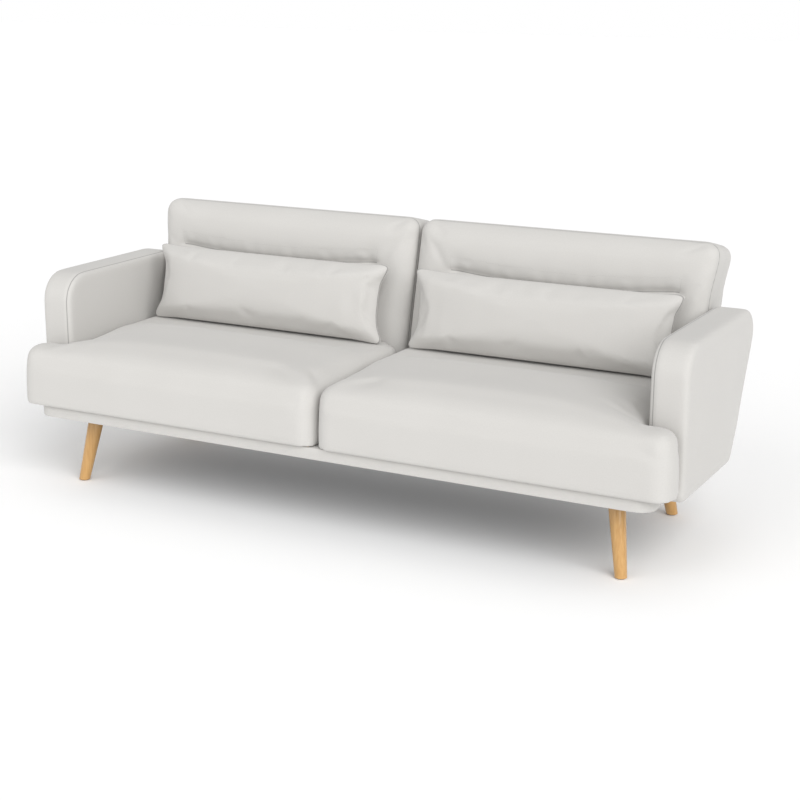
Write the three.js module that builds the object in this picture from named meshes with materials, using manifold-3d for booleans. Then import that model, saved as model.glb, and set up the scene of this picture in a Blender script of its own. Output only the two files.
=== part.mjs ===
// A click-clack sofa bed on four turned wooden legs.
//
// Units are millimetres. +X is to the right seen from the front, +Y to the rear and +Z up.
// The origin is on the floor, in the middle of the sofa's width and depth.
// Everything is modelled once for the right half and mirrored for the left, apart from the
// pieces that cross the middle. Each back half is modelled upright about its hinge line, where
// u runs to the rear and v up the back, and its group leans it to rest.

import * as THREE from 'three';
import { mergeVertices } from 'three/addons/utils/BufferGeometryUtils.js';
import Module from 'manifold-3d';

const wasm = await Module();
wasm.setup();

// ---- Overall sizes ----
const OVERALL_WIDTH = 2100;
const OVERALL_DEPTH = 830;
const OVERALL_HEIGHT = 820;
const LEG_HEIGHT = 220; // floor to the underside of the base
const SEAT_TOP = 450;
const ARM_TOP = 645;

// ---- Clearances ----
const FIT_GAP = 0.3; // between hard pieces that touch
const SOFT_GAP = 3; // between padded pieces, and on each side of the middle split
const SWING_GAP = 3; // between the back's round foot and the seat as the back turns
const BACK_REST_GAP = 6; // under the back when it lies flat
const HOLE_GAP = 0.5; // around a bolt

// ---- Base ----
const RAIL_HEIGHT = 34;
const SIDE_RAIL_WIDTH = 35;
const CENTRE_RAIL_WIDTH = 70;
const FRONT_RAIL_DEPTH = 80;
const FRONT_RAIL_SETBACK = 17;
const FRONT_RAIL_END_SETBACK = 50;
const FRONT_RAIL_CORNER = 50;
const REAR_RAIL_DEPTH = 30;
const REAR_RAIL_SETBACK = 137;
const CORNER_BLOCK_SIZE = 100;
const DUST_COVER_THICKNESS = 1.5;
const DUST_COVER_MARGIN = 8;

// ---- Legs ----
const LEG_TOP_RADIUS = 25;
const LEG_FOOT_RADIUS = 15;
const LEG_SPLAY_SIDE = 36; // how far the foot stands outside its top
const LEG_SPLAY_FORE = 39; // how far the foot stands in front of, or behind, its top
const FRONT_LEG_INSET = 40;
const REAR_LEG_INSET = 86;
const FRONT_LEG_RAIL_GAP = 8; // from a leg plate to the rail beside it
const REAR_LEG_RAIL_GAP = 2;
const LEG_PLATE_SIZE = 70;
const LEG_PLATE_THICKNESS = 3;
const LEG_BOLT_RADIUS = 4;
const LEG_BOLT_IN_LEG = 35;
const LEG_BOLT_IN_BLOCK = 24;
const GLIDE_HEIGHT = 3;
const GLIDE_RADIUS = 12;

// ---- Seat ----
const SEAT_SHADOW_GAP = 4; // between the base rail and the pad
const SEAT_EDGE_RADIUS = 42; // of the top edge, less than the corner radius
const SEAT_CORNER_RADIUS = 50; // seen from above, less than half of EAR_DEPTH
const EAR_DEPTH = 122; // the part of the seat that reaches across in front of the arms
const SEAT_WALL = 20; // padding around the seat frame
const SEAT_FRAME_HEIGHT = 36;
const FRAME_MEMBER = 40;
const FRAME_BAYS = 5;
const RUNG_WIDTH = 30;
const SPRING_WIRE_RADIUS = 1.9;
const SPRING_COUNT = 4;
const SPRING_BENDS = 7;
const SPRING_SWING = 24;
const TIE_WIRE_SHARES = [1 / 3, 2 / 3]; // along the springs
const SPRING_ROOM = 8; // pocket height over the springs

// ---- Arms ----
const ARM_WIDTH = 108;
const ARM_FRONT_RADIUS = 88;
const ARM_REAR_RADIUS = 75;
const ARM_BOTTOM_RADIUS = 25;
const ARM_EDGE_RADIUS = 15;
const ARM_RAKE = THREE.MathUtils.degToRad(27);
const ARM_REAR_SETBACK = 60;
const ARM_WALL = 36;
const ARM_BOLT_RADIUS = 4;
const ARM_BOLT_HEAD_RADIUS = 8;
const ARM_BOLT_HEAD_HEIGHT = 5;
const ARM_BOLT_IN_FRAME = 25;
const ARM_BOLT_SETBACKS = [140, 350]; // from the arm's front face

// ---- Backs ----
const BACK_LEAN = THREE.MathUtils.degToRad(13);
const BACK_EDGE_RADIUS = 45;
const BACK_END_RADIUS = 36; // less than the edge radius
const BACK_FOOT_DROP = 70; // how far the back reaches below its hinge line
const BACK_ARM_GAP = 6;
const BACK_FRAME_THICKNESS = 36;
const BACK_FRAME_MARGIN = 50;
const BACK_FRAME_FOOT = 50;
const WEBBING_THICKNESS = 1.5;
const WEBBING_WIDTH = 50;
const WEBBING_UPRIGHTS = 4;
const WEBBING_ROWS = 3;

// ---- Hinges ----
const HINGE_STEEL = 4;
const HINGE_FOOT_STEEL = 3;
const HINGE_FOOT_LENGTH = 70;
const HINGE_FOOT_WIDTH = 30;
const HINGE_PLAY = 1;
const HINGE_END_COVER = 2; // from the pad's end to the hinge bracket
const HINGE_HEAD_RADIUS = 20;
const HINGE_ARM_RADIUS = 18;
const HINGE_ARM_LENGTH = 130;
const HINGE_PIN_RADIUS = 5;
const HINGE_PIN_HEAD_RADIUS = 8;
const HINGE_PIN_GAP = 0.3;
const HINGE_NOTCH_GAP = 6;

// ---- Loose cushions ----
const CUSHION_LENGTH = 850;
const CUSHION_HEIGHT = 245;
const CUSHION_THICKNESS = 130;
const CUSHION_LIFT = 1; // above the seat

// ---- Facets ----
const ARC_STEPS = 3;
const BEVEL_STEPS = 3;
const ROUND_STEPS = 24;
const WIRE_SIDES = 6;
const WIRE_ARC_STEPS = 2;
const SPRING_STEPS = 3; // along each bend

// ---- Places that follow from the sizes ----
const HALF_WIDTH = OVERALL_WIDTH / 2;
const FRONT_Y = -OVERALL_DEPTH / 2;
const REAR_Y = OVERALL_DEPTH / 2;
const RAIL_TOP = LEG_HEIGHT + RAIL_HEIGHT;
const SEAT_BOTTOM = RAIL_TOP + SEAT_SHADOW_GAP;
const ARM_INNER_X = HALF_WIDTH - ARM_WIDTH;
const ARM_FRONT_Y = FRONT_Y + EAR_DEPTH + SOFT_GAP;
const FRONT_RAIL_Y = FRONT_Y + FRONT_RAIL_SETBACK;
const SIDE_RAIL_Y = FRONT_RAIL_Y + FRONT_RAIL_DEPTH + FIT_GAP;
const REAR_RAIL_Y = REAR_Y - REAR_RAIL_SETBACK - REAR_RAIL_DEPTH;
const SIDE_RAIL_END_Y = REAR_RAIL_Y - FIT_GAP;
const RAIL_OUTER_X = ARM_INNER_X - BACK_ARM_GAP;
const RAIL_INNER_X = RAIL_OUTER_X - SIDE_RAIL_WIDTH;

const BACK_THICKNESS = SEAT_TOP - RAIL_TOP - BACK_REST_GAP;
const HINGE_SETBACK = BACK_THICKNESS / 2; // behind the back's face and below the seat's top
const HINGE_Z = SEAT_TOP - HINGE_SETBACK;
const BACK_INNER_X = SOFT_GAP;
const BACK_OUTER_X = ARM_INNER_X - BACK_ARM_GAP;
const LEAN_SIN = Math.sin(BACK_LEAN);
const LEAN_COS = Math.cos(BACK_LEAN);
// The top front corner's arc reaches OVERALL_HEIGHT and the top rear corner's arc reaches REAR_Y.
const CORNER_U = HINGE_SETBACK - BACK_EDGE_RADIUS;
const CORNER_V = (OVERALL_HEIGHT - HINGE_Z - BACK_EDGE_RADIUS - CORNER_U * LEAN_SIN) / LEAN_COS;
const BACK_TOP_V = CORNER_V + BACK_EDGE_RADIUS;
const HINGE_Y = REAR_Y - BACK_EDGE_RADIUS - CORNER_U * LEAN_COS - CORNER_V * LEAN_SIN;
// The back's lower front corner swings past the seat on this radius.
const FOOT_SWING = Math.hypot(CORNER_U, BACK_FOOT_DROP - BACK_EDGE_RADIUS) + BACK_EDGE_RADIUS;
const SEAT_REAR_U = -FOOT_SWING - SWING_GAP;
const LEG_TOP_Z = LEG_HEIGHT - FIT_GAP - DUST_COVER_THICKNESS - FIT_GAP;

const MATERIALS = {
  fabric: new THREE.MeshStandardMaterial({ color: 0xdad8d2, roughness: 0.95, metalness: 0 }),
  legWood: new THREE.MeshStandardMaterial({ color: 0xd0a067, roughness: 0.45, metalness: 0 }),
  frameWood: new THREE.MeshStandardMaterial({ color: 0xd9bd8c, roughness: 0.8, metalness: 0 }),
  steel: new THREE.MeshStandardMaterial({ color: 0x9a9da0, roughness: 0.4, metalness: 1 }),
  webbing: new THREE.MeshStandardMaterial({ color: 0x4a4038, roughness: 0.9, metalness: 0 }),
  dustCover: new THREE.MeshStandardMaterial({ color: 0x2c2c2c, roughness: 0.95, metalness: 0 }),
  glide: new THREE.MeshStandardMaterial({ color: 0x3a3835, roughness: 0.6, metalness: 0 }),
};

// ---- Joining and cutting ----

function toSolid(geometry) {
  const bare = geometry.index ? geometry.toNonIndexed() : geometry.clone();
  bare.deleteAttribute('normal');
  bare.deleteAttribute('uv');
  const merged = mergeVertices(bare, 1e-3);
  return new wasm.Manifold(new wasm.Mesh({
    numProp: 3,
    vertProperties: new Float32Array(merged.attributes.position.array),
    triVerts: new Uint32Array(merged.index.array),
  }));
}

function toGeometry(solid) {
  const mesh = solid.getMesh();
  const geometry = new THREE.BufferGeometry();
  geometry.setAttribute('position', new THREE.BufferAttribute(mesh.vertProperties, 3));
  geometry.setIndex(new THREE.BufferAttribute(mesh.triVerts, 1));
  geometry.computeVertexNormals();
  return geometry;
}

function join(geometries) {
  return toGeometry(geometries.map(toSolid).reduce((whole, piece) => whole.add(piece)));
}

function cut(geometry, tools) {
  return toGeometry(tools.map(toSolid).reduce((rest, tool) => rest.subtract(tool), toSolid(geometry)));
}

// ---- Basic shapes ----

function box(x, y, z) {
  const size = new THREE.BoxGeometry(x[1] - x[0], y[1] - y[0], z[1] - z[0]);
  return size.translate((x[0] + x[1]) / 2, (y[0] + y[1]) / 2, (z[0] + z[1]) / 2);
}

// A rod along X, for pins, bolts and their holes.
function rodAlongX(radius, x, y, z, sides = ROUND_STEPS) {
  const rod = new THREE.CylinderGeometry(radius, radius, x[1] - x[0], sides);
  return rod.rotateZ(Math.PI / 2).translate((x[0] + x[1]) / 2, y, z);
}

// A closed outline of corners [x, y, radius], listed anticlockwise.
function roundedShape(corners) {
  const shape = new THREE.Shape();
  corners.forEach(([x, y, radius], index) => {
    const corner = new THREE.Vector2(x, y);
    const before = corners.at(index - 1);
    const after = corners[(index + 1) % corners.length];
    const back = new THREE.Vector2(before[0], before[1]).sub(corner).normalize();
    const ahead = new THREE.Vector2(after[0], after[1]).sub(corner).normalize();
    const halfAngle = Math.acos(back.dot(ahead)) / 2;
    const start = corner.clone().addScaledVector(back, radius / Math.tan(halfAngle));
    const end = corner.clone().addScaledVector(ahead, radius / Math.tan(halfAngle));
    if (index === 0) shape.moveTo(start.x, start.y);
    else shape.lineTo(start.x, start.y);
    if (radius > 0) {
      const middle = back.clone().add(ahead).normalize();
      const centre = corner.clone().addScaledVector(middle, radius / Math.sin(halfAngle));
      const from = Math.atan2(start.y - centre.y, start.x - centre.x);
      const to = Math.atan2(end.y - centre.y, end.x - centre.x);
      shape.absarc(centre.x, centre.y, radius, from, to, back.cross(ahead) > 0);
    }
  });
  shape.closePath();
  return shape;
}

// Moves each edge of a convex anticlockwise outline inwards and lessens its corner radii.
function insetCorners(corners, distance) {
  return corners.map(([x, y, radius], index) => {
    const corner = new THREE.Vector2(x, y);
    const before = corners.at(index - 1);
    const after = corners[(index + 1) % corners.length];
    const back = new THREE.Vector2(before[0], before[1]).sub(corner).normalize();
    const ahead = new THREE.Vector2(after[0], after[1]).sub(corner).normalize();
    const reach = distance / Math.sin(Math.acos(back.dot(ahead)));
    corner.addScaledVector(back, reach).addScaledVector(ahead, reach);
    return [corner.x, corner.y, Math.max(radius - distance, 0)];
  });
}

// A slab of an outline from z = 0 up to its thickness, with its edges rounded by the bevel.
function slab(shape, thickness, bevel = 0) {
  const slabGeometry = new THREE.ExtrudeGeometry(shape, {
    depth: thickness - 2 * bevel,
    bevelEnabled: bevel > 0,
    bevelThickness: bevel,
    bevelSize: bevel,
    bevelOffset: -bevel,
    bevelSegments: BEVEL_STEPS,
    curveSegments: ARC_STEPS,
  });
  return slabGeometry.translate(0, 0, bevel);
}

// Stands a slab up, so that its outline lies in the side view and its thickness runs along X.
function standAlongX(geometry, x) {
  const turn = new THREE.Matrix4().makeBasis(
    new THREE.Vector3(0, 1, 0),
    new THREE.Vector3(0, 0, 1),
    new THREE.Vector3(1, 0, 0),
  );
  return geometry.applyMatrix4(turn).translate(x, 0, 0);
}

function sideSlab(corners, x, bevel = 0) {
  return standAlongX(slab(roundedShape(corners), x[1] - x[0], bevel), x[0]);
}

// Takes a shape from a back's own upright frame to where the back leans at rest.
function leanToRest(geometry) {
  return geometry.rotateX(-BACK_LEAN).translate(0, HINGE_Y, HINGE_Z);
}

// ---- Base ----

function frontRail() {
  const end = HALF_WIDTH - FRONT_RAIL_END_SETBACK;
  const rear = FRONT_RAIL_Y + FRONT_RAIL_DEPTH;
  const outline = roundedShape([
    [-end, FRONT_RAIL_Y, FRONT_RAIL_CORNER],
    [end, FRONT_RAIL_Y, FRONT_RAIL_CORNER],
    [end, rear, 0],
    [-end, rear, 0],
  ]);
  return slab(outline, RAIL_HEIGHT).translate(0, 0, LEG_HEIGHT);
}

function rearRail() {
  const y = [REAR_RAIL_Y, REAR_RAIL_Y + REAR_RAIL_DEPTH];
  return box([-RAIL_OUTER_X, RAIL_OUTER_X], y, [LEG_HEIGHT, RAIL_TOP]);
}

function centreRail() {
  const half = CENTRE_RAIL_WIDTH / 2;
  return box([-half, half], [SIDE_RAIL_Y, SIDE_RAIL_END_Y], [LEG_HEIGHT, RAIL_TOP]);
}

function sideRail() {
  const rail = box([RAIL_INNER_X, RAIL_OUTER_X], [SIDE_RAIL_Y, SIDE_RAIL_END_Y], [LEG_HEIGHT, RAIL_TOP]);
  return cut(rail, ARM_BOLT_SETBACKS.map(armBoltHole));
}

// Each leg hangs from its top centre x, y. `side` is 1 on the right and -1 on the left, and
// `fore` is -1 for a front leg and 1 for a rear one.
const LEGS = {
  front: {
    side: 1,
    x: RAIL_INNER_X - FRONT_LEG_INSET,
    y: SIDE_RAIL_Y + FRONT_LEG_RAIL_GAP + LEG_PLATE_SIZE / 2,
    fore: -1,
  },
  rear: {
    side: 1,
    x: RAIL_INNER_X - REAR_LEG_INSET,
    y: SIDE_RAIL_END_Y - REAR_LEG_RAIL_GAP - LEG_PLATE_SIZE / 2,
    fore: 1,
  },
};

// Tilts a shape made upright along +Z from a leg's top, so that it points down to the foot.
function splay(geometry, leg) {
  const out = leg.side * LEG_SPLAY_SIDE;
  const up = new THREE.Vector3(-out, -leg.fore * LEG_SPLAY_FORE, LEG_HEIGHT).normalize();
  const turn = new THREE.Quaternion().setFromUnitVectors(new THREE.Vector3(0, 0, 1), up);
  return geometry.applyQuaternion(turn).translate(leg.x, leg.y, LEG_TOP_Z);
}

function legRod(leg, radius, below, above) {
  const rod = new THREE.CylinderGeometry(radius, radius, below + above, ROUND_STEPS / 2);
  return splay(rod.rotateX(Math.PI / 2).translate(0, 0, (above - below) / 2), leg);
}

function legBolt(leg) {
  return legRod(leg, LEG_BOLT_RADIUS, LEG_BOLT_IN_LEG, LEG_BOLT_IN_BLOCK);
}

function legBoltHole(leg) {
  return legRod(leg, LEG_BOLT_RADIUS + HOLE_GAP, LEG_BOLT_IN_LEG + HOLE_GAP, LEG_BOLT_IN_BLOCK + HOLE_GAP);
}

// A turned, tapered leg, cut level at its foot and where it meets the base.
function turnedLeg(leg) {
  const spare = LEG_TOP_RADIUS;
  const length = Math.hypot(LEG_SPLAY_SIDE, LEG_SPLAY_FORE, LEG_HEIGHT) + 2 * spare;
  const profile = [
    [0, -length],
    [LEG_FOOT_RADIUS, -length],
    [LEG_TOP_RADIUS, 0],
    [LEG_TOP_RADIUS, spare],
    [0, spare],
  ].map(([radius, height]) => new THREE.Vector2(radius, height));
  const turned = splay(new THREE.LatheGeometry(profile, ROUND_STEPS).rotateX(Math.PI / 2), leg);
  const reach = [-OVERALL_WIDTH, OVERALL_WIDTH];
  const above = box(reach, reach, [LEG_TOP_Z, LEG_TOP_Z + OVERALL_HEIGHT]);
  const below = box(reach, reach, [-OVERALL_HEIGHT, GLIDE_HEIGHT + FIT_GAP]);
  return cut(turned, [above, below, legBoltHole(leg)]);
}

function glide(leg) {
  const share = (LEG_TOP_Z - GLIDE_HEIGHT) / LEG_HEIGHT;
  const disc = new THREE.CylinderGeometry(GLIDE_RADIUS, GLIDE_RADIUS, GLIDE_HEIGHT, ROUND_STEPS);
  disc.rotateX(Math.PI / 2).translate(0, 0, GLIDE_HEIGHT / 2);
  const x = leg.x + share * leg.side * LEG_SPLAY_SIDE;
  return disc.translate(x, leg.y + share * leg.fore * LEG_SPLAY_FORE, 0);
}

function legPlate(leg) {
  const half = LEG_PLATE_SIZE / 2;
  const plate = box(
    [leg.x - half, leg.x + half],
    [leg.y - half, leg.y + half],
    [LEG_HEIGHT, LEG_HEIGHT + LEG_PLATE_THICKNESS],
  );
  return cut(plate, [legBoltHole(leg)]);
}

function cornerBlock(leg) {
  const outer = Math.min(leg.x + CORNER_BLOCK_SIZE / 2, RAIL_INNER_X - FIT_GAP);
  const y = leg.fore < 0
    ? [SIDE_RAIL_Y, SIDE_RAIL_Y + CORNER_BLOCK_SIZE]
    : [SIDE_RAIL_END_Y - CORNER_BLOCK_SIZE, SIDE_RAIL_END_Y];
  const z = [LEG_HEIGHT + LEG_PLATE_THICKNESS + FIT_GAP, RAIL_TOP];
  return cut(box([outer - CORNER_BLOCK_SIZE, outer], y, z), [legBoltHole(leg)]);
}

function dustCover() {
  const side = RAIL_OUTER_X - DUST_COVER_MARGIN;
  const sheet = box(
    [-side, side],
    [FRONT_RAIL_Y + DUST_COVER_MARGIN, REAR_RAIL_Y + REAR_RAIL_DEPTH - DUST_COVER_MARGIN],
    [LEG_TOP_Z + FIT_GAP, LEG_TOP_Z + FIT_GAP + DUST_COVER_THICKNESS],
  );
  const rightLegs = Object.values(LEGS);
  const leftLegs = rightLegs.map((leg) => ({ ...leg, side: -1, x: -leg.x }));
  return cut(sheet, [...rightLegs, ...leftLegs].map(legBoltHole));
}

// ---- Seat ----

const SEAT_FRAME_X = [BACK_INNER_X + SEAT_WALL, ARM_INNER_X - SOFT_GAP - SEAT_WALL];
const SEAT_FRAME_Y = [FRONT_Y + SEAT_WALL + SOFT_GAP, seatRearY(SEAT_BOTTOM) - SEAT_WALL - SOFT_GAP];
const SEAT_FRAME_Z = [RAIL_TOP + FIT_GAP, RAIL_TOP + FIT_GAP + SEAT_FRAME_HEIGHT];
const SPRING_Z = SEAT_FRAME_Z[1] + FIT_GAP + SPRING_WIRE_RADIUS;

// How far back the seat's raked rear face reaches at a height.
function seatRearY(z) {
  return HINGE_Y + (SEAT_REAR_U + (z - HINGE_Z) * LEAN_SIN) / LEAN_COS;
}

// The X spans between a ladder frame's rungs.
function frameBays(x0, x1) {
  const width = (x1 - x0 - 2 * FRAME_MEMBER - (FRAME_BAYS - 1) * RUNG_WIDTH) / FRAME_BAYS;
  return Array.from({ length: FRAME_BAYS }, (_, bay) => {
    const start = x0 + FRAME_MEMBER + bay * (width + RUNG_WIDTH);
    return [start, start + width];
  });
}

function seatFrame() {
  const [x0, x1] = SEAT_FRAME_X;
  const [y0, y1] = SEAT_FRAME_Y;
  const board = box(SEAT_FRAME_X, SEAT_FRAME_Y, SEAT_FRAME_Z);
  const bayY = [y0 + FRAME_MEMBER, y1 - FRAME_MEMBER];
  return cut(board, frameBays(x0, x1).map((bayX) => box(bayX, bayY, [0, OVERALL_HEIGHT])));
}

// Serpentine springs from front to rear, held side by side by two tie wires.
function seatSprings() {
  const [x0, x1] = SEAT_FRAME_X;
  const y = [SEAT_FRAME_Y[0] + FRAME_MEMBER / 2, SEAT_FRAME_Y[1] - FRAME_MEMBER / 2];
  const section = new THREE.Shape().absarc(0, 0, SPRING_WIRE_RADIUS, 0, 2 * Math.PI, false);
  const pitch = (x1 - x0) / SPRING_COUNT;
  const pieces = [];
  for (let i = 0; i < SPRING_COUNT; i += 1) {
    const centre = x0 + (i + 0.5) * pitch;
    const points = [];
    for (let step = 0; step <= SPRING_BENDS * 2; step += 1) {
      const share = step / (SPRING_BENDS * 2);
      const swing = SPRING_SWING * Math.sin(step * Math.PI / 2);
      points.push(new THREE.Vector3(centre + swing, THREE.MathUtils.lerp(y[0], y[1], share), SPRING_Z));
    }
    pieces.push(new THREE.ExtrudeGeometry(section, {
      extrudePath: new THREE.CatmullRomCurve3(points),
      steps: SPRING_BENDS * SPRING_STEPS,
      curveSegments: WIRE_ARC_STEPS,
      bevelEnabled: false,
    }));
  }
  const tieEnds = [x0 + pitch / 2 - SPRING_SWING, x1 - pitch / 2 + SPRING_SWING];
  for (const share of TIE_WIRE_SHARES) {
    const tieY = THREE.MathUtils.lerp(y[0], y[1], share);
    pieces.push(rodAlongX(SPRING_WIRE_RADIUS, tieEnds, tieY, SPRING_Z, WIRE_SIDES));
  }
  return join(pieces);
}

// The pad is T-shaped in plan: between the arms at the rear and out to full width in front.
function seatPad() {
  const side = ARM_INNER_X - SOFT_GAP;
  const earRear = FRONT_Y + EAR_DEPTH;
  const rear = HINGE_Y;
  const outline = roundedShape([
    [BACK_INNER_X, FRONT_Y, SEAT_CORNER_RADIUS],
    [HALF_WIDTH, FRONT_Y, SEAT_CORNER_RADIUS],
    [HALF_WIDTH, earRear, SEAT_CORNER_RADIUS],
    [side, earRear, 0],
    [side, rear, 0],
    [BACK_INNER_X, rear, 0],
  ]);
  const height = SEAT_TOP - SEAT_BOTTOM + SEAT_EDGE_RADIUS;
  const block = slab(outline, height, SEAT_EDGE_RADIUS).translate(0, 0, SEAT_TOP - height);
  const reach = [-OVERALL_WIDTH, OVERALL_WIDTH];
  const below = box(reach, reach, [0, SEAT_BOTTOM]);
  const behind = leanToRest(box(reach, [SEAT_REAR_U, OVERALL_DEPTH], reach));
  const pocketTop = SPRING_Z + SPRING_WIRE_RADIUS + SPRING_ROOM;
  const pocket = box(
    [SEAT_FRAME_X[0] - FIT_GAP, SEAT_FRAME_X[1] + FIT_GAP],
    [SEAT_FRAME_Y[0] - FIT_GAP, SEAT_FRAME_Y[1] + FIT_GAP],
    [0, pocketTop],
  );
  return cut(block, [below, behind, pocket]);
}

// ---- Arms ----

const ARM_REAR_Y = REAR_Y - ARM_REAR_SETBACK;
const ARM_OUTLINE = [
  [ARM_FRONT_Y, LEG_HEIGHT, ARM_BOTTOM_RADIUS],
  [ARM_REAR_Y - (ARM_TOP - LEG_HEIGHT) * Math.tan(ARM_RAKE), LEG_HEIGHT, ARM_BOTTOM_RADIUS],
  [ARM_REAR_Y, ARM_TOP, ARM_REAR_RADIUS],
  [ARM_FRONT_Y, ARM_TOP, ARM_FRONT_RADIUS],
];
const ARM_FRAME_X = [ARM_INNER_X + ARM_WALL, HALF_WIDTH - ARM_WALL];

function armBoltY(setback) {
  return ARM_FRONT_Y + setback;
}

function armBolt(setback) {
  const z = LEG_HEIGHT + RAIL_HEIGHT / 2;
  const y = armBoltY(setback);
  const seat = RAIL_INNER_X - FIT_GAP;
  return join([
    rodAlongX(ARM_BOLT_RADIUS, [seat - ARM_BOLT_HEAD_HEIGHT / 2, ARM_FRAME_X[0] + ARM_BOLT_IN_FRAME], y, z),
    rodAlongX(ARM_BOLT_HEAD_RADIUS, [seat - ARM_BOLT_HEAD_HEIGHT, seat], y, z),
  ]);
}

function armBoltHole(setback) {
  const z = LEG_HEIGHT + RAIL_HEIGHT / 2;
  const x = [RAIL_INNER_X - SIDE_RAIL_WIDTH, ARM_FRAME_X[0] + ARM_BOLT_IN_FRAME + HOLE_GAP];
  return rodAlongX(ARM_BOLT_RADIUS + HOLE_GAP, x, armBoltY(setback), z);
}

// The arm's wooden core, a board of the arm's own outline, set in from it all round.
function armFrame() {
  const board = sideSlab(insetCorners(ARM_OUTLINE, ARM_WALL), ARM_FRAME_X);
  const foot = box(
    ARM_FRAME_X,
    [armBoltY(ARM_BOLT_SETBACKS[0]) - FRAME_MEMBER / 2, armBoltY(ARM_BOLT_SETBACKS[1]) + FRAME_MEMBER / 2],
    [LEG_HEIGHT + SOFT_GAP, LEG_HEIGHT + ARM_WALL + FRAME_MEMBER],
  );
  return cut(join([board, foot]), ARM_BOLT_SETBACKS.map(armBoltHole));
}

function armPad() {
  const x = [ARM_INNER_X, HALF_WIDTH];
  const core = sideSlab(
    insetCorners(ARM_OUTLINE, ARM_WALL - FIT_GAP),
    [ARM_FRAME_X[0] - FIT_GAP, ARM_FRAME_X[1] + FIT_GAP],
  );
  const mouth = box(
    [ARM_FRAME_X[0] - FIT_GAP, ARM_FRAME_X[1] + FIT_GAP],
    [
      armBoltY(ARM_BOLT_SETBACKS[0]) - FRAME_MEMBER / 2 - FIT_GAP,
      armBoltY(ARM_BOLT_SETBACKS[1]) + FRAME_MEMBER / 2 + FIT_GAP,
    ],
    [0, LEG_HEIGHT + ARM_WALL + FRAME_MEMBER + FIT_GAP],
  );
  const holes = ARM_BOLT_SETBACKS.map(armBoltHole);
  return cut(sideSlab(ARM_OUTLINE, x, ARM_EDGE_RADIUS), [core, mouth, ...holes]);
}

// ---- Backs, in their own upright frame about the hinge line ----

// X places of one hinge, counted from the pad's end inwards.
const BRACKET_FROM_END = [HINGE_END_COVER, HINGE_END_COVER + HINGE_STEEL];
const HINGE_ARM_FROM_END = BRACKET_FROM_END.map((x) => x + HINGE_STEEL + HINGE_PLAY);
const FRAME_FROM_END = HINGE_ARM_FROM_END[1] + FIT_GAP;
const BACK_FRAME_X = [BACK_INNER_X + FRAME_FROM_END, BACK_OUTER_X - FRAME_FROM_END];
const BACK_FRAME_U = [-BACK_FRAME_THICKNESS / 2, BACK_FRAME_THICKNESS / 2];
const BACK_FRAME_V = [-BACK_FRAME_FOOT, BACK_TOP_V - BACK_FRAME_MARGIN];
// Inside this radius the pad's lower rear corner swings over the bracket's foot.
const OVER_FOOT_RADIUS = HINGE_Z - RAIL_TOP - FIT_GAP - HINGE_FOOT_STEEL - SWING_GAP;
const HINGES = {
  inner: { end: BACK_INNER_X, inwards: 1 },
  outer: { end: BACK_OUTER_X, inwards: -1 },
};

function hingeX(hinge, fromEnd) {
  return fromEnd.map((x) => hinge.end + hinge.inwards * x).sort((a, b) => a - b);
}

// A flat plate with a round top, in the side view.
function strapCorners(radius, bottom, top) {
  const round = radius - FIT_GAP;
  return [
    [-radius, bottom, 0],
    [radius, bottom, 0],
    [radius, top + radius, round],
    [-radius, top + radius, round],
  ];
}

function hingePinHole(x) {
  return rodAlongX(HINGE_PIN_RADIUS + HINGE_PIN_GAP, [x[0] - HINGE_STEEL, x[1] + HINGE_STEEL], 0, 0);
}

function hingeArm(hinge) {
  const x = hingeX(hinge, HINGE_ARM_FROM_END);
  const plate = sideSlab(strapCorners(HINGE_ARM_RADIUS, -HINGE_ARM_RADIUS, HINGE_ARM_LENGTH), x);
  return cut(plate, [hingePinHole(x)]);
}

// The fixed bracket stands on the base rails with an inward foot, in the room's upright frame.
function hingeBracket(hinge) {
  const x = hingeX(hinge, BRACKET_FROM_END);
  const footX = hingeX(hinge, [HINGE_END_COVER, HINGE_END_COVER + HINGE_FOOT_WIDTH]);
  const footZ = [RAIL_TOP + FIT_GAP - HINGE_Z, RAIL_TOP + FIT_GAP + HINGE_FOOT_STEEL - HINGE_Z];
  const footY = [-HINGE_FOOT_LENGTH / 2, HINGE_FOOT_LENGTH / 2];
  const upright = sideSlab(strapCorners(HINGE_HEAD_RADIUS, footZ[0], 0), x);
  const bracket = join([upright, box(footX, footY, footZ)]);
  return cut(bracket, [hingePinHole(x)]).translate(0, HINGE_Y, HINGE_Z);
}

function hingePin(hinge) {
  const shank = hingeX(hinge, [HINGE_END_COVER - HINGE_PLAY, HINGE_ARM_FROM_END[1]]);
  const head = hingeX(hinge, [HINGE_END_COVER - HINGE_PLAY, HINGE_END_COVER - FIT_GAP]);
  const pin = join([rodAlongX(HINGE_PIN_RADIUS, shank, 0, 0), rodAlongX(HINGE_PIN_HEAD_RADIUS, head, 0, 0)]);
  return pin.translate(0, HINGE_Y, HINGE_Z);
}

function backFrame() {
  const [x0, x1] = BACK_FRAME_X;
  const [v0, v1] = BACK_FRAME_V;
  const bayV = [v0 + FRAME_MEMBER, v1 - FRAME_MEMBER];
  const through = [-OVERALL_DEPTH, OVERALL_DEPTH];
  const board = box(BACK_FRAME_X, BACK_FRAME_U, BACK_FRAME_V);
  return cut(board, frameBays(x0, x1).map((bayX) => box(bayX, through, bayV)));
}

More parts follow.
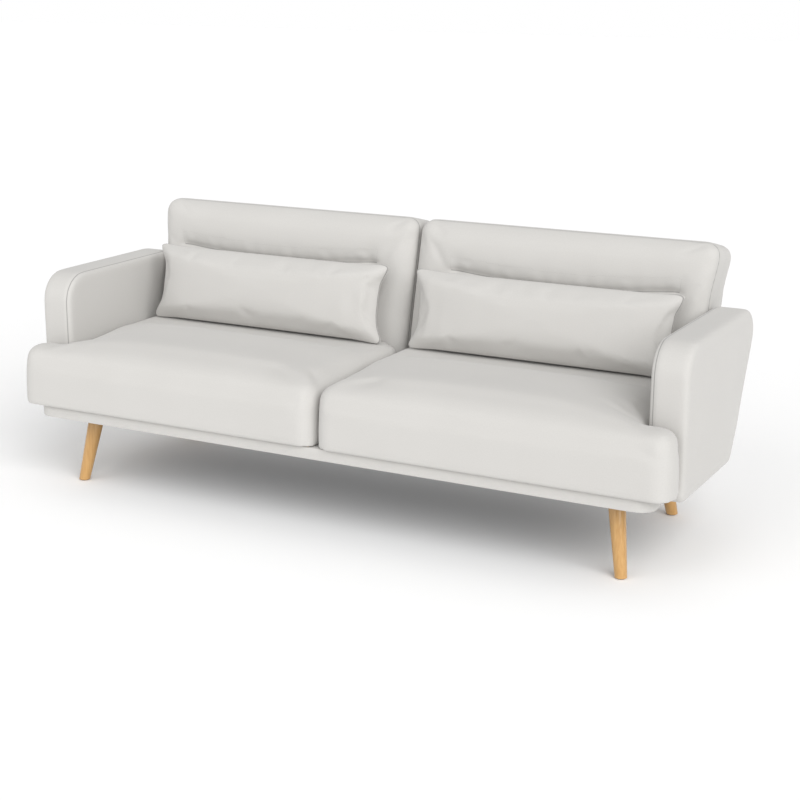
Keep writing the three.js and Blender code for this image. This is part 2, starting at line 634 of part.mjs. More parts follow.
// Flat straps across the face of the back frame, crossing each other.
function backWebbing() {
  const u = [BACK_FRAME_U[0] - FIT_GAP - WEBBING_THICKNESS, BACK_FRAME_U[0] - FIT_GAP];
  const margin = FRAME_MEMBER / 4;
  const x = [BACK_FRAME_X[0] + margin, BACK_FRAME_X[1] - margin];
  const v = [BACK_FRAME_V[0] + margin, BACK_FRAME_V[1] - margin];
  const straps = [];
  for (let i = 1; i <= WEBBING_UPRIGHTS; i += 1) {
    const centre = THREE.MathUtils.lerp(x[0], x[1], i / (WEBBING_UPRIGHTS + 1));
    straps.push(box([centre - WEBBING_WIDTH / 2, centre + WEBBING_WIDTH / 2], u, v));
  }
  for (let i = 1; i <= WEBBING_ROWS; i += 1) {
    const centre = THREE.MathUtils.lerp(v[0], v[1], i / (WEBBING_ROWS + 1));
    straps.push(box(x, u, [centre - WEBBING_WIDTH / 2, centre + WEBBING_WIDTH / 2]));
  }
  return join(straps);
}

function backPad() {
  const corners = [
    [-HINGE_SETBACK, -BACK_FOOT_DROP, BACK_EDGE_RADIUS],
    [BACK_THICKNESS - HINGE_SETBACK, -BACK_FOOT_DROP, BACK_EDGE_RADIUS],
    [BACK_THICKNESS - HINGE_SETBACK, BACK_TOP_V, BACK_EDGE_RADIUS],
    [-HINGE_SETBACK, BACK_TOP_V, BACK_EDGE_RADIUS],
  ];
  const block = sideSlab(corners, [BACK_INNER_X, BACK_OUTER_X], BACK_END_RADIUS);
  const pocketU = [BACK_FRAME_U[0] - WEBBING_THICKNESS - 2 * FIT_GAP, BACK_FRAME_U[1] + FIT_GAP];
  const pocketX = [BACK_FRAME_X[0] - FIT_GAP / 2, BACK_FRAME_X[1] + FIT_GAP / 2];
  const pocket = box(pocketX, pocketU, [-OVERALL_HEIGHT, BACK_FRAME_V[1] + FIT_GAP]);
  const notches = Object.values(HINGES).flatMap((hinge) => {
    const x = hingeX(hinge, [-HINGE_NOTCH_GAP, FRAME_FROM_END]);
    const swing = HINGE_HEAD_RADIUS + HINGE_NOTCH_GAP;
    const top = HINGE_ARM_LENGTH + HINGE_ARM_RADIUS + HINGE_NOTCH_GAP;
    const footX = hingeX(hinge, [-HINGE_NOTCH_GAP, HINGE_END_COVER + HINGE_FOOT_WIDTH + HINGE_NOTCH_GAP]);
    const overFoot = box(footX, [0, OVERALL_DEPTH], [-OVERALL_HEIGHT, 0]);
    return [
      box(x, [-swing, OVERALL_DEPTH], [-OVERALL_HEIGHT, swing]),
      box(x, [-HINGE_ARM_RADIUS - FIT_GAP, HINGE_ARM_RADIUS + FIT_GAP], [0, top]),
      cut(overFoot, [rodAlongX(OVER_FOOT_RADIUS, [footX[0] - HINGE_PLAY, footX[1] + HINGE_PLAY], 0, 0)]),
    ];
  });
  return cut(block, [pocket, ...notches]);
}

// ---- Loose cushions ----

// A knife-edged cushion: a ball spread to a rectangle with drawn-out corners.
function cushion() {
  const ball = new THREE.SphereGeometry(1, ROUND_STEPS, ROUND_STEPS / 2);
  const point = ball.attributes.position;
  for (let i = 0; i < point.count; i += 1) {
    const [x, y, z] = [point.getX(i), point.getY(i), point.getZ(i)];
    const radius = Math.hypot(x, z);
    const spread = radius > 0 ? radius / Math.max(Math.abs(x), Math.abs(z)) : 1;
    point.setX(i, x * spread * CUSHION_LENGTH / 2);
    point.setY(i, y * CUSHION_THICKNESS / 2);
    point.setZ(i, z * spread * CUSHION_HEIGHT / 2);
  }
  const u = -HINGE_SETBACK - CUSHION_THICKNESS / 2 - FIT_GAP;
  const bottom = (HINGE_SETBACK + CUSHION_LIFT + u * LEAN_SIN) / LEAN_COS;
  return ball.translate((BACK_INNER_X + BACK_OUTER_X) / 2, u, bottom + CUSHION_HEIGHT / 2);
}

// ---- Assembly ----

function addPiece(group, name, geometry, material) {
  const mesh = new THREE.Mesh(geometry, material);
  mesh.name = name;
  group.add(mesh);
}

function buildMiddle() {
  const middle = new THREE.Group();
  addPiece(middle, 'base_rail_front', frontRail(), MATERIALS.fabric);
  addPiece(middle, 'base_rail_rear', rearRail(), MATERIALS.frameWood);
  addPiece(middle, 'base_rail_centre', centreRail(), MATERIALS.frameWood);
  addPiece(middle, 'dust_cover', dustCover(), MATERIALS.dustCover);
  return middle;
}

function buildHalf(side) {
  const half = new THREE.Group();
  addPiece(half, `base_rail_${side}`, sideRail(), MATERIALS.frameWood);
  addPiece(half, `seat_frame_${side}`, seatFrame(), MATERIALS.frameWood);
  addPiece(half, `seat_springs_${side}`, seatSprings(), MATERIALS.steel);
  addPiece(half, `seat_pad_${side}`, seatPad(), MATERIALS.fabric);
  addPiece(half, `arm_frame_${side}`, armFrame(), MATERIALS.frameWood);
  addPiece(half, `arm_pad_${side}`, armPad(), MATERIALS.fabric);
  ARM_BOLT_SETBACKS.forEach((setback, index) => {
    addPiece(half, `arm_bolt_${side}_${index + 1}`, armBolt(setback), MATERIALS.steel);
  });
  for (const [place, leg] of Object.entries(LEGS)) {
    addPiece(half, `corner_block_${place}_${side}`, cornerBlock(leg), MATERIALS.frameWood);
    addPiece(half, `leg_plate_${place}_${side}`, legPlate(leg), MATERIALS.steel);
    addPiece(half, `leg_bolt_${place}_${side}`, legBolt(leg), MATERIALS.steel);
    addPiece(half, `leg_${place}_${side}`, turnedLeg(leg), MATERIALS.legWood);
    addPiece(half, `leg_glide_${place}_${side}`, glide(leg), MATERIALS.glide);
  }
  for (const [place, hinge] of Object.entries(HINGES)) {
    addPiece(half, `hinge_bracket_${side}_${place}`, hingeBracket(hinge), MATERIALS.steel);
    addPiece(half, `hinge_pin_${side}_${place}`, hingePin(hinge), MATERIALS.steel);
  }
  half.add(buildBack(side));
  return half;
}

function buildBack(side) {
  const back = new THREE.Group();
  addPiece(back, `back_frame_${side}`, backFrame(), MATERIALS.frameWood);
  addPiece(back, `back_webbing_${side}`, backWebbing(), MATERIALS.webbing);
  addPiece(back, `back_pad_${side}`, backPad(), MATERIALS.fabric);
  for (const [place, hinge] of Object.entries(HINGES)) {
    addPiece(back, `hinge_arm_${side}_${place}`, hingeArm(hinge), MATERIALS.steel);
  }
  addPiece(back, `lumbar_cushion_${side}`, cushion(), MATERIALS.fabric);
  back.rotation.x = -BACK_LEAN;
  back.position.set(0, HINGE_Y, HINGE_Z);
  return back;
}

const sofa = new THREE.Group();
sofa.add(buildMiddle());
sofa.add(buildHalf('right'));
const leftHalf = buildHalf('left');
leftHalf.scale.x = -1;
sofa.add(leftHalf);

export default sofa;
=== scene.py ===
# %% [markdown]
# # A sofa bed with wooden legs
# The sofa has two upholstered halves. Each half has its own seat pad and its own back,
# and each back folds down flat. Loose lumbar cushions lean on the backs.
# The frame, hinges and legs come from the CAD model, already in place. This lesson
# makes the soft parts look soft, and gives every part its finish.

import math

import bpy
import numpy as np
from mathutils import Matrix, Vector
from mathutils.bvhtree import BVHTree


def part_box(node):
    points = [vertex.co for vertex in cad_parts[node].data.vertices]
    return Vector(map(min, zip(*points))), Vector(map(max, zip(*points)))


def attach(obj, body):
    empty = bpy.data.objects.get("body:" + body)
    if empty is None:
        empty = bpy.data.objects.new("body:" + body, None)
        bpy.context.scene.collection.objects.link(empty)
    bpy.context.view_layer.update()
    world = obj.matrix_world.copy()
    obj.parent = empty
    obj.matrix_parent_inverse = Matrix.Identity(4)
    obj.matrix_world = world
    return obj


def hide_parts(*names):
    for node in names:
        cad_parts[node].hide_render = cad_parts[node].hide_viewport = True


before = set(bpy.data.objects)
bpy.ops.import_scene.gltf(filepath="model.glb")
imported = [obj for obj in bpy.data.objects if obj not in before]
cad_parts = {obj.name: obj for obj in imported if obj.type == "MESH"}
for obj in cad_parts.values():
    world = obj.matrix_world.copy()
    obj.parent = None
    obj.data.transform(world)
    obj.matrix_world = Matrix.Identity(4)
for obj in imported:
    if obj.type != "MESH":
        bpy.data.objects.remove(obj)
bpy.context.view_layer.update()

# %% [markdown]
# ## Measures that the soft parts share
# The backs lean, so their seams and tucks are easiest to place in upright
# measures: how far behind the hinge a point lies, and how far above it.

# %% Shared measures, in metres
HINGE = Vector((0, 0.2269, 0.355))
LEAN = math.radians(13)
SIDES = ("right", "left")
ARM_INNER_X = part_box("arm_pad_right")[0].x
ARM_FRONT_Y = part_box("arm_pad_right")[0].y
ARM_TOP_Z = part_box("arm_pad_right")[1].z
SEAT_TOP_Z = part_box("seat_pad_right")[1].z
print("arm starts at x", round(ARM_INNER_X, 3), "and y", round(ARM_FRONT_Y, 3))
print("seat top is at", round(SEAT_TOP_Z, 3))


def upright(points):
    """Points as x, distance behind the hinge, and height above it along the back."""
    y, z = points[:, 1] - HINGE.y, points[:, 2] - HINGE.z
    behind = y * math.cos(LEAN) - z * math.sin(LEAN)
    above = y * math.sin(LEAN) + z * math.cos(LEAN)
    return np.stack([points[:, 0], behind, above], 1)


def leaning(points):
    """The way back from upright measures to the leaning back."""
    behind, above = points[:, 1], points[:, 2]
    y = behind * math.cos(LEAN) + above * math.sin(LEAN) + HINGE.y
    z = -behind * math.sin(LEAN) + above * math.cos(LEAN) + HINGE.z
    return np.stack([points[:, 0], y, z], 1)


def ramp(value, start, end):
    """0 before start, 1 after end, and a soft curve between them."""
    t = np.clip((value - start) / (end - start), 0, 1)
    return t * t * (3 - 2 * t)


# %% [markdown]
# ## Small helpers for copies and modifiers
# A soft part starts as a copy of its CAD solid. The copy's loose triangles are
# merged first, so that modifiers see one closed skin.

# %% Helpers for pieces
def select_only(piece):
    bpy.ops.object.select_all(action="DESELECT")
    piece.select_set(True)
    bpy.context.view_layer.objects.active = piece


def apply_modifiers(piece):
    select_only(piece)
    for modifier in list(piece.modifiers):
        bpy.ops.object.modifier_apply(modifier=modifier.name)


def points_of(piece):
    flat = np.empty(len(piece.data.vertices) * 3)
    piece.data.vertices.foreach_get("co", flat)
    return flat.reshape(-1, 3)


def set_points(piece, points):
    piece.data.vertices.foreach_set("co", np.ascontiguousarray(points).ravel())
    piece.data.update()


def copy_of(node, name):
    """A merged copy of a CAD node, free of its body, that stands in for the node."""
    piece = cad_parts[node].copy()
    piece.data = piece.data.copy()
    piece.name = piece.data.name = name
    place = piece.matrix_world.copy()
    piece.parent = None
    piece.matrix_world = place
    for key in list(piece.keys()):
        del piece[key]
    bpy.context.scene.collection.objects.link(piece)
    piece.data.materials.clear()
    select_only(piece)
    bpy.ops.object.mode_set(mode="EDIT")
    bpy.ops.mesh.select_all(action="SELECT")
    bpy.ops.mesh.remove_doubles(threshold=0.00002)
    bpy.ops.object.mode_set(mode="OBJECT")
    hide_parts(node)
    return piece


def remesh(piece, size):
    grid = piece.modifiers.new("even skin", "REMESH")
    grid.mode = "VOXEL"
    grid.voxel_size = size
    apply_modifiers(piece)


def relax(piece, times):
    smooth = piece.modifiers.new("relax", "SMOOTH")
    smooth.iterations = times
    smooth.factor = 0.5
    apply_modifiers(piece)


# %% [markdown]
# ## Stuffing
# Foam and fibre push a cover outwards until its seams hold it. Cloth simulation
# with a little pressure does the same. Points that are glued or stapled to the
# frame are pinned, and no point may travel further than the stuffing would let it.

# %% Stuff a cover
STUFFING_FRAMES = 20
STUFFING_PRESSURE = 4.0
HOLD_STEPS = 10


def stuff(piece, free, allow, cap):
    """Swells the cover. free is where it may leave its frame, allow which way, and cap how far."""
    start = points_of(piece)
    held = piece.vertex_groups.new(name="held")
    hold = 1 - np.clip(free(start), 0, 1)
    for step in range(HOLD_STEPS + 1):
        chosen = np.nonzero(np.round(hold * HOLD_STEPS) == step)[0].tolist()
        held.add(chosen, step / HOLD_STEPS, "REPLACE")
    cloth = piece.modifiers.new("stuffing", "CLOTH")
    cloth.settings.use_pressure = True
    cloth.settings.uniform_pressure_force = STUFFING_PRESSURE
    cloth.settings.effector_weights.gravity = 0
    cloth.settings.vertex_group_mass = held.name
    cloth.point_cache.frame_start = 1
    cloth.point_cache.frame_end = STUFFING_FRAMES
    for step in range(1, STUFFING_FRAMES + 1):
        bpy.context.scene.frame_set(step)
    apply_modifiers(piece)
    bpy.context.scene.frame_set(1)
    piece.vertex_groups.clear()
    travel = (points_of(piece) - start) * allow(start)
    far = np.linalg.norm(travel, axis=1, keepdims=True)
    travel *= cap * np.tanh(far / cap) / np.maximum(far, 1e-9)
    set_points(piece, start + travel)
    print(piece.name, "swelled by up to", round(float(np.abs(travel).max()) * 1000, 1), "mm")


def refine(piece):
    """Splits every face in four, so that seams and tucks have points to bend at."""
    finer = piece.modifiers.new("finer skin", "SUBSURF")
    finer.levels = finer.render_levels = 1
    apply_modifiers(piece)


WAVES = 6


def ripple(points, size, seed):
    """Gentle unevenness, from -1 to 1, the same every time it is worked out."""
    waves = np.random.default_rng(seed)
    total = np.zeros(len(points))
    for _ in range(WAVES):
        direction = waves.normal(size=3)
        direction /= np.linalg.norm(direction)
        total += np.sin(points @ direction * 2 * math.pi / size + waves.uniform(0, 6.28))
    return total / WAVES


# %% Mark seams, so that the fabric's finish can paint shade along them
FAR_FROM_A_SEAM = 1.0


def mark_seams(piece, distance):
    mark = piece.data.attributes.new("seam", "FLOAT", "POINT")
    mark.data.foreach_set("value", np.ascontiguousarray(distance, dtype=np.float32))


def lay_out_weave(piece):
    """Unwraps from six sides at real size, so a thread is the same width everywhere."""
    select_only(piece)
    bpy.ops.object.mode_set(mode="EDIT")
    bpy.ops.mesh.select_all(action="SELECT")
    bpy.ops.uv.cube_project(cube_size=1.0)
    bpy.ops.object.mode_set(mode="OBJECT")
    bpy.ops.object.shade_smooth()


def mirrored(piece, name):
    other = piece.copy()
    for key in list(other.keys()):
        del other[key]
    other.data = piece.data.copy()
    other.name = other.data.name = name
    bpy.context.scene.collection.objects.link(other)
    other.data.transform(Matrix.Scale(-1, 4, (1, 0, 0)))
    other.data.flip_normals()
    return other


# %% [markdown]
# ## Seat pads
# Each seat pad is one deep foam block in a tight cover. In front of the arm it
# carries on sideways as an ear. The top is crowned, highest in the middle of the
# sitting area, and the front edge rolls over in a broad curve.

# %% Right seat pad
SEAT_CROWN = 0.026
EDGE_FALL = 0.007
SITTING_X, SITTING_WIDTH = 0.003, 0.937
SITTING_Y, SITTING_DEPTH = -0.415, 0.42
FIRM_TO_SOFT = (0.30, 0.36)
SEAT_RIPPLE, SEAT_RIPPLE_SIZE = 0.0015, 0.35


def seat_rise(points):
    """How far the top rises in the middle of the sitting area, and falls at its edges.

    It keeps its height at the rear, where the loose cushion rests.
    """
    across = np.clip((points[:, 0] - SITTING_X) / SITTING_WIDTH, 0, 1)
    along = np.clip((points[:, 1] - SITTING_Y) / SITTING_DEPTH, 0, 1)
    crown = (1 - (2 * across - 1) ** 4) ** 2 * (1 - (2 * along - 1) ** 4) ** 2
    return SEAT_CROWN * crown - EDGE_FALL * (1 - ramp(along, 0.45, 0.85))


SKIRT_GAP = 0.0018


def drop_skirt(points):
    """The cover's lower edge hangs to just above the rail, and hides the seat frame."""
    rail_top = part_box("base_rail_front")[1].z
    lift = points[:, 2].min() - rail_top - SKIRT_GAP
    points[:, 2] -= lift * (1 - ramp(points[:, 2], 0.262, 0.31))
    return points


def relax_top(piece, times):
    """Rounds the upper part only, so that the lower edge keeps its shape."""
    firm = points_of(piece)
    relax(piece, times)
    soft = ramp(firm[:, 2], *FIRM_TO_SOFT)[:, None]
    set_points(piece, firm + soft * (points_of(piece) - firm))


seat = copy_of("seat_pad_right", "seat_cover_right")
remesh(seat, 0.010)
relax_top(seat, 18)
skin = points_of(seat)
upper = ramp(skin[:, 2], 0.33, 0.45)
skin[:, 2] += upper * seat_rise(skin)
skin[:, 2] += upper * SEAT_RIPPLE * ripple(skin, SEAT_RIPPLE_SIZE, 3)
set_points(seat, skin)
stuff(
    seat,
    free=lambda p: ramp(p[:, 2], 0.32, 0.40) * (1 - ramp(p[:, 1], -0.06, 0.02)),
    allow=lambda p: np.stack(
        [
            ramp(p[:, 0], 1.0, 1.03),
            1 - ramp(p[:, 1], -0.36, -0.30),
            ramp(p[:, 2], 0.36, 0.44),
        ],
        1,
    ),
    cap=0.008,
)
relax_top(seat, 6)
refine(seat)
set_points(seat, drop_skirt(points_of(seat)))
heights = points_of(seat)[:, 2]
print("seat pad spans", round(float(heights.min()), 3), "to", round(float(heights.max()), 3))

# %% [markdown]
# ## Arms
# An arm is a thin padded panel. A boxing band runs up its front, over its top
# and down its rear, sewn to the inner panel with a plain seam. It is cut in one with
# the outer panel, which rolls over the edge without a seam. The pad is
# thin and firm, so its slight swell is shaped directly rather than simulated.

# %% Right arm pad
ARM_SEAM_X = ARM_INNER_X + 0.013
ARM_SEAM_DIP, ARM_SEAM_WIDTH = 0.0022, 0.005
ARM_PANEL_SWELL = 0.006

arm = copy_of("arm_pad_right", "arm_cover_right")
remesh(arm, 0.009)
relax(arm, 3)
refine(arm)
skin = points_of(arm)
inside_panel = ramp(skin[:, 2], 0.24, 0.36) * (1 - ramp(skin[:, 2], 0.50, 0.63))
inside_panel *= ramp(skin[:, 1], -0.28, -0.16) * (1 - ramp(skin[:, 1], 0.08, 0.24))
skin[:, 0] += ARM_PANEL_SWELL * inside_panel * ramp(skin[:, 0], 1.02, 1.045)
set_points(arm, skin)
normals = np.array([v.normal[:] for v in arm.data.vertices])
on_band = 1 - np.abs(normals[:, :1])
dip = ARM_SEAM_DIP * np.exp(-(((skin[:, :1] - ARM_SEAM_X) / ARM_SEAM_WIDTH) ** 2))
set_points(arm, skin - normals * on_band * dip)
# The distance to the inner seam sets where the fabric gets painted shade.
mark_seams(arm, points_of(arm)[:, 0] - ARM_SEAM_X)
print("arm's outer panel reaches x", round(float(points_of(arm)[:, 0].max()), 4))

# %% [markdown]
# ## Backs
# A horizontal tuck is sewn through the front of each back, a little above the
# loose cushion. It stops short of both ends, pulls deepest there, and leaves a
# headrest roll above it. One seam runs round where the front panel meets the side
# band, and another where the band meets the rear panel.

# %% Right back pad
TUCK_HEIGHT = 0.312
TUCK_ENDS = (0.15, 0.83)
TUCK_FADE = 0.05
TUCK_HOLD = 0.012
TUCK_DEPTH, TUCK_WIDTH = 0.011, 0.010
TUCK_SAG = 0.018
STITCH_DEPTH, STITCH_WIDTH = 0.004, 0.006
PUCKER_DEPTH, PUCKER_REACH = 0.0010, 0.045
PUCKER_SPACINGS = (0.047, 0.071)
HEAD_SWELL = 0.014
HEAD_SWELL_ABOVE_ARM = (0.01, 0.14)
HEAD_SWELL_FROM_X = (0.80, 0.93)
BACK_SEAMS_BEHIND = (-0.060, 0.062)
BACK_SEAM_DIP, BACK_SEAM_WIDTH = 0.0018, 0.004


def hump(distance, width):
    """1 at no distance, falling softly to nothing a few widths away."""
    return np.exp(-((distance / width) ** 2))
BACK_GRID = 0.0112
BACK_TURN = math.radians(77)
PLATE_REACH = 0.022
PLATE_GAP = 0.003
SLOT_ROUNDING = 0.008
SLOT_ROOF_BELOW = (0.010, 0.060)
SLOT_MARGIN = 0.004


def turned(points, angle):
    """Points turned rearwards about the hinge line."""
    y, z = points[:, 1] - HINGE[1], points[:, 2] - HINGE[2]
    across = HINGE[1] + math.cos(angle) * y + math.sin(angle) * z
    up = HINGE[2] - math.sin(angle) * y + math.cos(angle) * z
    return np.stack([points[:, 0], across, up], 1)


def tuck_line(x):
    """The tuck's height above the hinge: it sags a little between its ends."""
    middle = (TUCK_ENDS[0] + TUCK_ENDS[1]) / 2
    half = (TUCK_ENDS[1] - TUCK_ENDS[0]) / 2
    return TUCK_HEIGHT - TUCK_SAG * (1 - np.clip(((x - middle) / half) ** 2, 0, 1))


def tuck_strength(x):
    start, end = TUCK_ENDS
    ends = ramp(x, start - TUCK_FADE, start) * (1 - ramp(x, end, end + TUCK_FADE))
    pinch = hump(x - start, TUCK_FADE) + hump(x - end, TUCK_FADE)
    return ends * (0.75 + 0.35 * pinch)


back = copy_of("back_pad_right", "back_cover_right")
remesh(back, BACK_GRID)
relax(back, 2)
place = upright(points_of(back))
front = 1 - ramp(place[:, 1], -0.09, -0.05)
from_tuck = place[:, 2] - tuck_line(place[:, 0])
sewn = tuck_strength(place[:, 0]) * front
place[:, 1] += sewn * TUCK_DEPTH * hump(from_tuck, TUCK_WIDTH)
turns = [place[:, 0] * 2 * math.pi / spacing for spacing in PUCKER_SPACINGS]
puckers = np.sin(turns[0]) + np.sin(turns[1] + 1)
place[:, 1] += sewn * PUCKER_DEPTH * puckers * hump(from_tuck, PUCKER_REACH)
above_arms = ramp(leaning(place)[:, 2] - ARM_TOP_Z, *HEAD_SWELL_ABOVE_ARM)
above_arms *= ramp(place[:, 0], *HEAD_SWELL_FROM_X)
place[:, 0] += HEAD_SWELL * above_arms
set_points(back, leaning(place))


def back_free(points):
    p = upright(points)
    away = 1 - tuck_strength(p[:, 0]) * hump(p[:, 2] - tuck_line(p[:, 0]), TUCK_HOLD)
    facing = 1 - ramp(p[:, 1], -0.075, -0.02)
    return facing * away * ramp(p[:, 2], -0.02, 0.06)


def back_allow(points):
    p = upright(points)
    forward = 1 - ramp(p[:, 1], -0.085, -0.05)
    return np.stack([0 * p[:, 0], forward, forward], 1)


stuff(back, free=back_free, allow=back_allow, cap=0.018)
refine(back)
place = upright(points_of(back))
normals = np.array([v.normal[:] for v in back.data.vertices])
to_front_seam, to_rear_seam = (place[:, 1] - behind for behind in BACK_SEAMS_BEHIND)
seam_distance = np.where(place[:, 1] < 0, to_front_seam, to_rear_seam)
dip = BACK_SEAM_DIP * hump(seam_distance[:, None], BACK_SEAM_WIDTH)
set_points(back, leaning(place) - normals * dip)
from_tuck = place[:, 2] - tuck_line(place[:, 0])
sewn = tuck_strength(place[:, 0]) * (1 - ramp(place[:, 1], -0.085, -0.06))
pulled_in = upright(points_of(back))
pulled_in[:, 1] += STITCH_DEPTH * sewn * hump(from_tuck, STITCH_WIDTH)
set_points(back, leaning(pulled_in))
# With the back flat, the rounded roof of each hinge slot comes down behind the
# bracket's plate, so it is pressed clear of the plate there.
flat = turned(points_of(back), BACK_TURN)
clear_of_plate = HINGE[1] + PLATE_REACH + PLATE_GAP
below_hinge = HINGE[2] - flat[:, 2]
at_plate = (flat[:, 1] > clear_of_plate - PLATE_GAP - SLOT_ROUNDING) & (flat[:, 1] < clear_of_plate)
at_plate &= (below_hinge > SLOT_ROOF_BELOW[0]) & (below_hinge < SLOT_ROOF_BELOW[1])
for end in ("inner", "outer"):
    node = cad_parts[f"hinge_bracket_right_{end}"]
    sides = [(node.matrix_world @ v.co).x for v in node.data.vertices]
    beside = (flat[:, 0] > min(sides) - SLOT_MARGIN) & (flat[:, 0] < max(sides) + SLOT_MARGIN)
    flat[at_plate & beside, 1] = clear_of_plate
    print("pressed", int((at_plate & beside).sum()), "points clear of the", end, "bracket")
set_points(back, turned(flat, -BACK_TURN))
# The distances to the edge seams and the tuck set where the fabric gets painted shade.
edge_seam = np.where(place[:, 2] > 0, seam_distance, FAR_FROM_A_SEAM)
tuck_seam = np.where(sewn > 0.5, from_tuck, FAR_FROM_A_SEAM)
mark_seams(back, np.where(np.abs(tuck_seam) < np.abs(edge_seam), tuck_seam, edge_seam))
print("back's front swelled to", round(float(place[:, 1].min()), 3), "m from the hinge line")

# %% [markdown]
# ## Loose lumbar cushions
# A lumbar cushion is two equal panels sewn edge to edge and filled with fibre.
# Its rim is a knife edge, its corners stay pointed, and its sides pull in between
# them. It is flat only where it rests on the seat and the back.

# %% Loose cushions
CUSHION_HALF = (0.425, 0.1225)
CUSHION_THICKNESS = 0.130
END_WRINKLE, BROAD_WRINKLE = 0.0050, 0.0015
REST_GAP = 0.0015
REST_REACH = 0.3


def cushion_place(points):
    """Upright measures from the cushion's middle, and that middle."""
    p = upright(points)
    middle = (p.min(0) + p.max(0)) / 2
    return p - middle, middle


def shape_cushion(piece, seed):
    p, middle = cushion_place(points_of(piece))
    across, up = p[:, 0] / CUSHION_HALF[0], p[:, 2] / CUSHION_HALF[1]
    reach = np.clip(np.maximum(np.abs(across), np.abs(up)), 0, 1)
    end, edge = np.abs(across), np.abs(up)
    side_across = across * (1 + 0.025 * ramp(edge, 0.3, 1) * ramp(end, 0.7, 1))
    pull = 0.022 * ramp(end, 0.75, 1) * (1 - np.clip(up * up, 0, 1))
    side_across -= np.sign(across) * pull
    side_up = up * (1 + 0.03 * ramp(end, 0.75, 1) * ramp(edge, 0.5, 1))
    swell = np.clip(1 - end**4, 0, 1) ** 0.55 * np.clip(1 - edge**2.6, 0, 1) ** 0.62
    now = np.abs(p[:, 1]) / (CUSHION_THICKNESS / 2)
    surface = np.sign(p[:, 1]) * np.clip(now / np.maximum(swell, 0.05), 0, 1) * swell
    near_end = ramp(reach, 0.55, 0.9)
    fine = END_WRINKLE * near_end * swell * ripple(p, 0.08, seed)
    wrinkle = fine + BROAD_WRINKLE * swell * ripple(p, 0.22, seed + 1)
    p[:, 0] = side_across * CUSHION_HALF[0]
    p[:, 2] = side_up * CUSHION_HALF[1]
    p[:, 1] = surface * CUSHION_THICKNESS / 2 + wrinkle * np.sign(surface)
    set_points(piece, leaning(p + middle))


def rest_against(points, support, direction, in_upright):
    """Presses points that would sink into a support back out to its skin."""
    skin = points_of(support)
    if in_upright:
        skin = upright(skin)
    tree = BVHTree.FromPolygons(
        [Vector(v) for v in skin],
        [tuple(f.vertices) for f in support.data.polygons],
    )
    ray = Vector(direction)
    for i, point in enumerate(points):
        origin = Vector(point) - ray * REST_REACH
        hit, _, _, far = tree.ray_cast(origin, ray, 2 * REST_REACH)
        if hit is not None and far < REST_REACH + REST_GAP:
            points[i] = np.array(hit - ray * REST_GAP)
    return points


def make_cushion(side, seat_pad, back_pad, seed):
    piece = copy_of(f"lumbar_cushion_{side}", f"lumbar_cover_{side}")
    remesh(piece, 0.010)
    space = np.ptp(upright(points_of(piece)), axis=0)
    shape_cushion(piece, seed)
    relax(piece, 1)
    stuff(piece, free=lambda p: np.ones(len(p)), allow=lambda p: np.ones((len(p), 3)), cap=0.012)
    refine(piece)
    p, middle = cushion_place(points_of(piece))
    set_points(piece, leaning(p * space / np.ptp(p, axis=0) + middle))
    points = rest_against(upright(points_of(piece)), back_pad, (0, 1, 0), True)
    points = rest_against(leaning(points), seat_pad, (0, 0, -1), False)
    set_points(piece, points)
    p, _ = cushion_place(points)
    rim = np.maximum(np.abs(p[:, 0]) / CUSHION_HALF[0], np.abs(p[:, 2]) / CUSHION_HALF[1])
    # The distance to the rim seam sets where the fabric gets painted shade.
    mark_seams(piece, np.where(rim > 0.86, p[:, 1], FAR_FROM_A_SEAM))
    lay_out_weave(piece)
    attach(piece, f"cushion_{side}")
    print(piece.name, "has", len(piece.data.polygons), "faces")
    return piece


mark_seams(seat, np.full(len(seat.data.vertices), FAR_FROM_A_SEAM))
covers = {}
for kind, piece in (("seat", seat), ("arm", arm), ("back", back)):
    lay_out_weave(piece)
    other = mirrored(piece, f"{kind}_cover_left")
    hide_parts(f"{kind}_pad_left")
    covers[kind] = {"right": piece, "left": other}
for side in SIDES:
    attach(covers["seat"][side], "base")
    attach(covers["arm"][side], "base")
    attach(covers["back"][side], f"back_{side}")
covers["cushion"] = {
    side: make_cushion(side, covers["seat"][side], covers["back"][side], seed)
    for side, seed in zip(SIDES, (11, 23))
}

# %% [markdown]
# ## Rails and legs
# The front rail is a board wrapped in the sofa's fabric, so its edges are slightly
# rounded. The rear rail is plain planed pine, as the side rails are. The legs are
# turned beech, with the sharp edge of each foot eased.

# %% Ease the edges of rails and legs
def eased(node, name, width):
    piece = copy_of(node, name)
    edge = piece.modifiers.new("eased edge", "BEVEL")
    edge.width = width
    edge.segments = 3
    edge.limit_method = "ANGLE"
    edge.angle_limit = math.radians(35)
    apply_modifiers(piece)
    mark_seams(piece, np.full(len(piece.data.vertices), FAR_FROM_A_SEAM))
    lay_out_weave(piece)
    select_only(piece)
    bpy.ops.object.shade_smooth_by_angle(angle=math.radians(40))
    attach(piece, "base")
    return piece


front_rail = eased("base_rail_front", "rail_cover_front", 0.004)
rear_rail = eased("base_rail_rear", "planed_rail_rear", 0.002)
legs = [
    eased(f"leg_{end}_{side}", f"turned_leg_{end}_{side}", 0.0015)
    for end in ("front", "rear")
    for side in SIDES
]
print(front_rail.name, "and", rear_rail.name, "and", len(legs), "legs have eased edges")

# %% [markdown]
# ## Finishes
# Colours are given as they look on a screen and turned into linear light once,
# in one place. One helper adds a node, sets it up and joins it to its inputs.

# %% Helpers for finishes
def linear(code):
    parts = [int(code[i : i + 2], 16) / 255 for i in (1, 3, 5)]
    return [c / 12.92 if c <= 0.04045 else ((c + 0.055) / 1.055) ** 2.4 for c in parts] + [1]


def add(tree, kind, settings=None, inputs=None):
    node = tree.nodes.new(kind)
    for name, value in (settings or {}).items():
        setattr(node, name, value)
    for name, value in (inputs or {}).items():
        if isinstance(value, bpy.types.NodeSocket):
            tree.links.new(value, node.inputs[name])
        else:
            node.inputs[name].default_value = value
    return node


